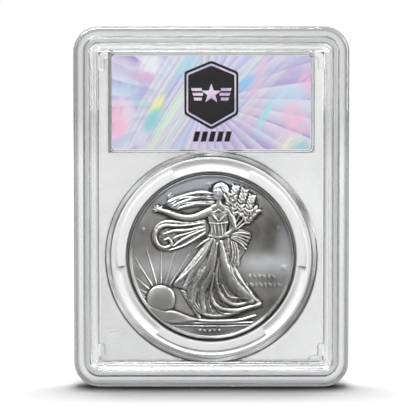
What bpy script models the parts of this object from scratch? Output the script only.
"""Graded coin slab: a welded clear holder with a silver coin, its gasket and a film-covered label.

The holder stands upright. X is its width, Y its thickness with the front at -Y, and Z its height.
The origin is the middle of the base. Lengths are in metres.
"""

from math import cos, pi, radians, sin

import bmesh
import bpy
from mathutils import Matrix, Vector

MM = 0.001

# Holder
WIDTH = 66.4 * MM
HEIGHT = 87.0 * MM
THICKNESS = 8.0 * MM
CORNER_RADIUS = 6.1 * MM
INNER_CORNER_RADIUS = 1.7 * MM
EDGE_ROUND = 0.7 * MM
GAP = 0.3 * MM

# Depths, measured from the middle of the thickness
PARTING = GAP / 2
RIM = THICKNESS / 2
LEDGE = 3.55 * MM
WINDOW_OUTER = 3.1 * MM
WINDOW_INNER = 1.8 * MM
BACK_RIM = 3.6 * MM
EMBED = 0.2 * MM

# Insets of the frame's steps from the outer edge
RIM_INSET = 4.1 * MM
STEP_DRAFT = 0.3 * MM
LEDGE_INSET = 5.4 * MM
RIDGE_INSET = 4.6 * MM
RIDGE_WIDTH = 0.7 * MM
INNER_WALL_INSET = 4.9 * MM

# Tongue, groove and weld between the two halves
GROOVE_INSET = 2.05 * MM
GROOVE_WIDTH = 1.95 * MM
GROOVE_DEPTH = 2.7 * MM
TONGUE_REACH = 1.5 * MM
DRAFT = 0.05 * MM
BEAD_THICKNESS = 0.6 * MM

# Coin, gasket and well
COIN_HEIGHT = 31.3 * MM
COIN_RADIUS = 20.3 * MM
COIN_THICKNESS = 2.98 * MM
COIN_RIM_WIDTH = 0.9 * MM
COIN_FIELD_DROP = 0.3 * MM
WELL_RADIUS = 24.3 * MM
WELL_WALL = 1.4 * MM
GASKET_HALF_DEPTH = 0.85 * MM
PRONG_INNER = 20.9 * MM
PRONG_OUTER = 22.9 * MM
PRONG_ANGLES = (30, 150, 270)
PRONG_SPAN = 71

# Label
LABEL_WIDTH = 48.0 * MM
LABEL_HEIGHT = 22.5 * MM
LABEL_CENTRE = 68.7 * MM
LABEL_RADIUS = 0.7 * MM
CARD_THICKNESS = 0.4 * MM
FILM_THICKNESS = 0.08 * MM
LABEL_RIB = 0.4 * MM

# Contactless tag
COIL_WIDTH = 43.0 * MM
COIL_HEIGHT = 17.5 * MM
COIL_TURNS = 4
COIL_PITCH = 0.9 * MM
TRACK_WIDTH = 0.45 * MM
TRACK_THICKNESS = 0.06 * MM
CHIP_SIZE = 1.6 * MM
CHIP_THICKNESS = 0.25 * MM

# Stacking lugs
LUG_INSET = 5.6 * MM
LUG_TALL_ARM = 4.9 * MM
LUG_WIDE_ARM = 4.1 * MM
LUG_TALL_WIDTH = 2.0 * MM
LUG_WIDE_WIDTH = 1.8 * MM
LUG_FRONT = 3.85 * MM
LUG_ROUND = 0.7 * MM

CORNER_STEPS = 8
ROUND_STEPS = 64
EDGE_STEPS = 4
COIN_AXIS = Vector((0, 0, COIN_HEIGHT))
SLAB_CENTRE = Vector((0, 0, HEIGHT / 2))


# ---------------------------------------------------------------- helpers

def clear_scene():
    for item in list(bpy.data.objects):
        bpy.data.objects.remove(item, do_unlink=True)


def make_material(name, colour, roughness, metallic=0.0):
    material = bpy.data.materials.new(name)
    material.use_nodes = True
    shader = material.node_tree.nodes["Principled BSDF"]
    shader.inputs["Base Color"].default_value = colour
    shader.inputs["Roughness"].default_value = roughness
    shader.inputs["Metallic"].default_value = metallic
    material.diffuse_color = colour
    return material


def make_object(name, bm, material=None, smooth=False):
    """Turn a bmesh into an object; with no material it is a tool that only shapes another object."""
    bmesh.ops.remove_doubles(bm, verts=bm.verts, dist=1e-7)
    loose = [edge for edge in bm.edges if edge.is_wire]
    bmesh.ops.delete(bm, geom=loose, context="EDGES")
    bmesh.ops.recalc_face_normals(bm, faces=bm.faces)
    mesh = bpy.data.meshes.new(name)
    bm.to_mesh(mesh)
    bm.free()
    item = bpy.data.objects.new(name, mesh)
    bpy.context.scene.collection.objects.link(item)
    if material:
        mesh.materials.append(material)
    else:
        item.hide_render = True
        item.display_type = "WIRE"
    if smooth:
        mesh.shade_smooth()
        mesh.set_sharp_from_angle(angle=radians(35))
    return item


def add_shape(target, tool):
    modifier = target.modifiers.new(tool.name, "BOOLEAN")
    modifier.operation = "UNION"
    modifier.solver = "EXACT"
    modifier.object = tool


def rounded_outline(bm, centre, half_width, half_height, radius, depth):
    """A closed row of vertices, a rectangle with round corners, in the plane y = depth."""
    row = []
    for quadrant, (side_x, side_z) in enumerate(((1, 1), (-1, 1), (-1, -1), (1, -1))):
        corner_x = centre.x + side_x * (half_width - radius)
        corner_z = centre.z + side_z * (half_height - radius)
        for step in range(CORNER_STEPS + 1):
            angle = (quadrant + step / CORNER_STEPS) * pi / 2
            row.append(bm.verts.new((corner_x + radius * cos(angle), depth, corner_z + radius * sin(angle))))
    return row


def holder_outline(bm, inset, depth):
    """The holder's own outline, moved inwards by an inset."""
    radius = max(CORNER_RADIUS - inset, INNER_CORNER_RADIUS)
    return rounded_outline(bm, SLAB_CENTRE, WIDTH / 2 - inset, HEIGHT / 2 - inset, radius, depth)


def skin(bm, rows, closed=False):
    """Join matching vertices of neighbouring rows. Open rows get a flat cap at both ends."""
    pairs = list(zip(rows, rows[1:]))
    if closed:
        pairs.append((rows[-1], rows[0]))
    for first, second in pairs:
        for index in range(len(first)):
            bm.faces.new((first[index - 1], first[index], second[index], second[index - 1]))
    if not closed:
        bm.faces.new(rows[0])
        bm.faces.new(rows[-1])


def holder_solid(sections, closed=False):
    """A bmesh of the holder's outline swept through a list of (inset, depth) sections."""
    bm = bmesh.new()
    skin(bm, [holder_outline(bm, inset, depth) for inset, depth in sections], closed)
    return bm


def plate(centre, width, height, radius, near, far):
    """A flat plate with round corners between two depths."""
    bm = bmesh.new()
    skin(bm, [rounded_outline(bm, centre, width / 2, height / 2, radius, depth) for depth in (near, far)])
    return bm


def turned(profile, angle=2 * pi, start=0.0, steps=ROUND_STEPS):
    """Spin a closed profile of (radius, depth) points around the coin's axis."""
    bm = bmesh.new()
    verts = [bm.verts.new((radius, depth, 0)) for radius, depth in profile]
    full = angle >= 2 * pi
    if full:
        geometry = verts + [bm.edges.new((verts[i - 1], verts[i])) for i in range(len(verts))]
    else:
        face = bm.faces.new(verts)
        geometry = verts + list(face.edges) + [face]
    bmesh.ops.spin(bm, geom=geometry, cent=(0, 0, 0), axis=(0, -1, 0), angle=angle, steps=steps,
                   use_merge=full)
    place = Matrix.Translation(COIN_AXIS) @ Matrix.Rotation(start, 4, (0, -1, 0))
    bmesh.ops.transform(bm, verts=bm.verts, matrix=place)
    return bm


# ---------------------------------------------------------------- clear shells

def edge_round(rim):
    """Sections of the outer edge, from the parting plane to the flat of the rim."""
    rows = [(0.0, PARTING)]
    for step in range(EDGE_STEPS + 1):
        angle = step / EDGE_STEPS * pi / 2
        rows.append((EDGE_ROUND * (1 - cos(angle)), rim - EDGE_ROUND * (1 - sin(angle))))
    return rows


def stacking_lug(side_x, side_z):
    """One L-shaped lug in a corner of the front window."""
    corner_x = WIDTH / 2 - LUG_INSET
    corner_z = HEIGHT / 2 - LUG_INSET
    outline = (
        (corner_x, corner_z), (corner_x - LUG_WIDE_ARM, corner_z),
        (corner_x - LUG_WIDE_ARM, corner_z - LUG_WIDE_WIDTH),
        (corner_x - LUG_TALL_WIDTH, corner_z - LUG_WIDE_WIDTH),
        (corner_x - LUG_TALL_WIDTH, corner_z - LUG_TALL_ARM), (corner_x, corner_z - LUG_TALL_ARM),
    )
    bm = bmesh.new()
    base = -WINDOW_OUTER + EMBED
    face = bm.faces.new([bm.verts.new((side_x * x, base, side_z * z)) for x, z in outline])
    grown = bmesh.ops.extrude_face_region(bm, geom=[face])["geom"]
    top = [item for item in grown if isinstance(item, bmesh.types.BMVert)]
    bmesh.ops.translate(bm, verts=top, vec=(0, -LUG_FRONT - base, 0))
    upright = [edge for edge in bm.edges if abs(edge.verts[0].co.y - edge.verts[1].co.y) > EMBED]
    bmesh.ops.bevel(bm, geom=upright, offset=LUG_ROUND, segments=3, profile=0.5, affect="EDGES", material=-1)
    bmesh.ops.translate(bm, verts=bm.verts, vec=SLAB_CENTRE)
    side = ("left" if side_x < 0 else "right") + ("_low" if side_z < 0 else "_high")
    return make_object("lug_" + side, bm)


def well_wall(name, side):
    outer = WELL_RADIUS + WELL_WALL
    near, far = side * (WINDOW_INNER + EMBED), side * PARTING
    profile = ((WELL_RADIUS, near), (outer, near), (outer, far), (WELL_RADIUS, far))
    return make_object(name, turned(profile))


def label_rib(name, side):
    """The thin wall around the label pocket."""
    bm = bmesh.new()
    centre = Vector((0, 0, LABEL_CENTRE))
    near, far = side * (WINDOW_INNER + 2 * EMBED), side * (PARTING + GAP)
    rows = []
    for margin, depth in ((GAP, near), (GAP + LABEL_RIB, near), (GAP + LABEL_RIB, far), (GAP, far)):
        half_width = LABEL_WIDTH / 2 + margin
        half_height = LABEL_HEIGHT / 2 + margin
        rows.append(rounded_outline(bm, centre, half_width, half_height, LABEL_RADIUS + margin, depth))
    skin(bm, rows, closed=True)
    return make_object(name, bm)


def build_front_shell(material):
    outside = [(inset, -depth) for inset, depth in edge_round(RIM)]
    outside += [
        (RIM_INSET, -RIM), (RIM_INSET + STEP_DRAFT, -LEDGE),
        (LEDGE_INSET, -LEDGE), (LEDGE_INSET + STEP_DRAFT, -WINDOW_OUTER),
    ]
    groove_end = GROOVE_INSET + GROOVE_WIDTH
    inside = [
        (GROOVE_INSET, -PARTING), (GROOVE_INSET + DRAFT, -GROOVE_DEPTH),
        (groove_end - DRAFT, -GROOVE_DEPTH), (groove_end, -PARTING),
        (INNER_WALL_INSET, -PARTING), (INNER_WALL_INSET + DRAFT, -WINDOW_INNER),
    ]
    shell = make_object("front_shell", holder_solid(outside[::-1] + inside), material)
    add_shape(shell, well_wall("well_wall_front", -1))
    add_shape(shell, label_rib("label_rib_front", -1))
    for side_x in (-1, 1):
        for side_z in (-1, 1):
            add_shape(shell, stacking_lug(side_x, side_z))


def build_back_shell(material):
    outside = edge_round(BACK_RIM)
    ridge_end = RIDGE_INSET + RIDGE_WIDTH
    outside += [
        (RIDGE_INSET - DRAFT, BACK_RIM), (RIDGE_INSET, RIM),
        (ridge_end, RIM), (ridge_end + STEP_DRAFT, WINDOW_OUTER),
    ]
    tongue_start = GROOVE_INSET + GAP
    tongue_end = GROOVE_INSET + GROOVE_WIDTH - GAP
    inside = [
        (tongue_start, PARTING), (tongue_start + DRAFT, -TONGUE_REACH),
        (tongue_end - DRAFT, -TONGUE_REACH), (tongue_end, PARTING),
        (INNER_WALL_INSET, PARTING), (INNER_WALL_INSET + DRAFT, WINDOW_INNER),
    ]
    shell = make_object("back_shell", holder_solid(outside[::-1] + inside), material)
    add_shape(shell, well_wall("well_wall_back", 1))
    add_shape(shell, label_rib("label_rib_back", 1))


def build_weld_bead(material):
    near = GROOVE_INSET + GAP + 2 * DRAFT
    far = GROOVE_INSET + GROOVE_WIDTH - GAP - 2 * DRAFT
    top = -GROOVE_DEPTH + GAP
    low = top + BEAD_THICKNESS
    sections = [(near, top), (far, top), (far, low), (near, low)]
    make_object("weld_bead", holder_solid(sections, closed=True), material)


# ---------------------------------------------------------------- coin and gasket

def build_coin(material):
    half = COIN_THICKNESS / 2
    field = half - COIN_FIELD_DROP
    rim_inner = COIN_RADIUS - COIN_RIM_WIDTH
    bevel = 0.15 * MM
    front = [
        (0, field), (rim_inner - bevel, field), (rim_inner, half - bevel / 2), (rim_inner + bevel, half),
        (COIN_RADIUS - bevel, half), (COIN_RADIUS, half - bevel),
    ]
    profile = front + [(radius, -depth) for radius, depth in reversed(front)]
    make_object("coin", turned(profile), material, smooth=True)


def build_gasket(material):
    inner = COIN_RADIUS + GAP
    outer = WELL_RADIUS - GAP
    chamfer = 0.35 * MM
    deep = GASKET_HALF_DEPTH
    profile = (
        (inner, -deep), (outer - chamfer, -deep), (outer, -deep + chamfer),
        (outer, deep - chamfer), (outer - chamfer, deep), (inner, deep),
    )
    gasket = make_object("coin_gasket", turned(profile), material, smooth=True)
    reach = WINDOW_INNER - GAP
    prong = (
        (PRONG_INNER, -reach), (PRONG_OUTER, -reach), (PRONG_OUTER + chamfer, 0),
        (PRONG_OUTER, reach), (PRONG_INNER, reach),
    )
    for number, angle in enumerate(PRONG_ANGLES):
        start = radians(angle - PRONG_SPAN / 2)
        shape = turned(prong, angle=radians(PRONG_SPAN), start=start, steps=14)
        add_shape(gasket, make_object(f"prong_{number + 1}", shape))


# ---------------------------------------------------------------- label

def build_card(name, near, thickness, material, shrink=0.0):
    centre = Vector((0, 0, LABEL_CENTRE))
    shape = plate(centre, LABEL_WIDTH - shrink, LABEL_HEIGHT - shrink, LABEL_RADIUS, near, near + thickness)
    make_object(name, shape, material)


def coil_path():
    """Corners of a flat rectangular spiral, outermost turn first."""
    half_x, half_z = COIL_WIDTH / 2, COIL_HEIGHT / 2
    points = [(-half_x, -half_z)]
    for turn in range(COIL_TURNS):
        inset = turn * COIL_PITCH
        points += [
            (half_x - inset, -half_z + inset), (half_x - inset, half_z - inset),
            (-half_x + inset, half_z - inset), (-half_x + inset, -half_z + inset + COIL_PITCH),
        ]
    return [Vector((x, 0, z)) for x, z in points]


def build_antenna(near, material):
    """A flat track of even width along the spiral, mitred at its corners."""
    path = coil_path()
    lifted = Vector((0, near, LABEL_CENTRE))
    rows = []
    bm = bmesh.new()
    for index, point in enumerate(path):
        before = (point - path[max(index - 1, 0)]).normalized()
        after = (path[min(index + 1, len(path) - 1)] - point).normalized()
        normals = [Vector((-way.z, 0, way.x)) for way in (before, after) if way.length > 0]
        side = sum(normals, Vector()) * TRACK_WIDTH / 2
        if len(normals) == 2 and before.dot(after) > 0.5:
            side /= 2
        rows.append([bm.verts.new(point + lifted + side * way) for way in (1, -1)])
    faces = [bm.faces.new((*here, *reversed(there))) for here, there in zip(rows, rows[1:])]
    grown = bmesh.ops.extrude_face_region(bm, geom=faces)["geom"]
    top = [item for item in grown if isinstance(item, bmesh.types.BMVert)]
    bmesh.ops.translate(bm, verts=top, vec=(0, TRACK_THICKNESS, 0))
    make_object("nfc_antenna", bm, material)


def build_chip(near, material):
    centre = Vector((0, 0, LABEL_CENTRE))
    shape = plate(centre, CHIP_SIZE, CHIP_SIZE, CHIP_SIZE / 8, near, near + CHIP_THICKNESS)
    make_object("nfc_chip", shape, material)


def build_label(card, film, tag_film, track, chip):
    """The stack in the pocket, each layer a fit gap behind the one in front of it."""
    front_film = -WINDOW_INNER + GAP
    front_card = front_film + FILM_THICKNESS + GAP
    carrier = front_card + CARD_THICKNESS + GAP
    tag = carrier + FILM_THICKNESS + GAP
    back_film = WINDOW_INNER - GAP - FILM_THICKNESS
    back_card = back_film - GAP - CARD_THICKNESS
    build_card("label_foil_front", front_film, FILM_THICKNESS, film)
    build_card("label_front_card", front_card, CARD_THICKNESS, card)
    build_card("nfc_film", carrier, FILM_THICKNESS, tag_film, shrink=2 * MM)
    build_antenna(tag, track)
    build_chip(tag, chip)
    build_card("label_back_card", back_card, CARD_THICKNESS, card)
    build_card("label_foil_back", back_film, FILM_THICKNESS, film)


def main():
    clear_scene()
    clear = make_material("clear_polystyrene", (0.93, 0.94, 0.95, 0.25), 0.08)
    weld = make_material("weld", (0.85, 0.87, 0.89, 0.6), 0.45)
    white = make_material("gasket_white", (0.94, 0.94, 0.93, 1), 0.5)
    silver = make_material("silver", (0.72, 0.72, 0.71, 1), 0.3, 1.0)
    card = make_material("label_card", (0.93, 0.92, 0.9, 1), 0.8)
    film = make_material("holographic_film", (0.82, 0.8, 0.88, 1), 0.2, 0.6)
    tag_film = make_material("tag_film", (0.85, 0.86, 0.84, 1), 0.3)
    track = make_material("aluminium_track", (0.8, 0.8, 0.8, 1), 0.35, 1.0)
    chip = make_material("chip", (0.05, 0.05, 0.06, 1), 0.4)
    build_front_shell(clear)
    build_back_shell(clear)
    build_weld_bead(weld)
    build_gasket(white)
    build_coin(silver)
    build_label(card, film, tag_film, track, chip)


main()
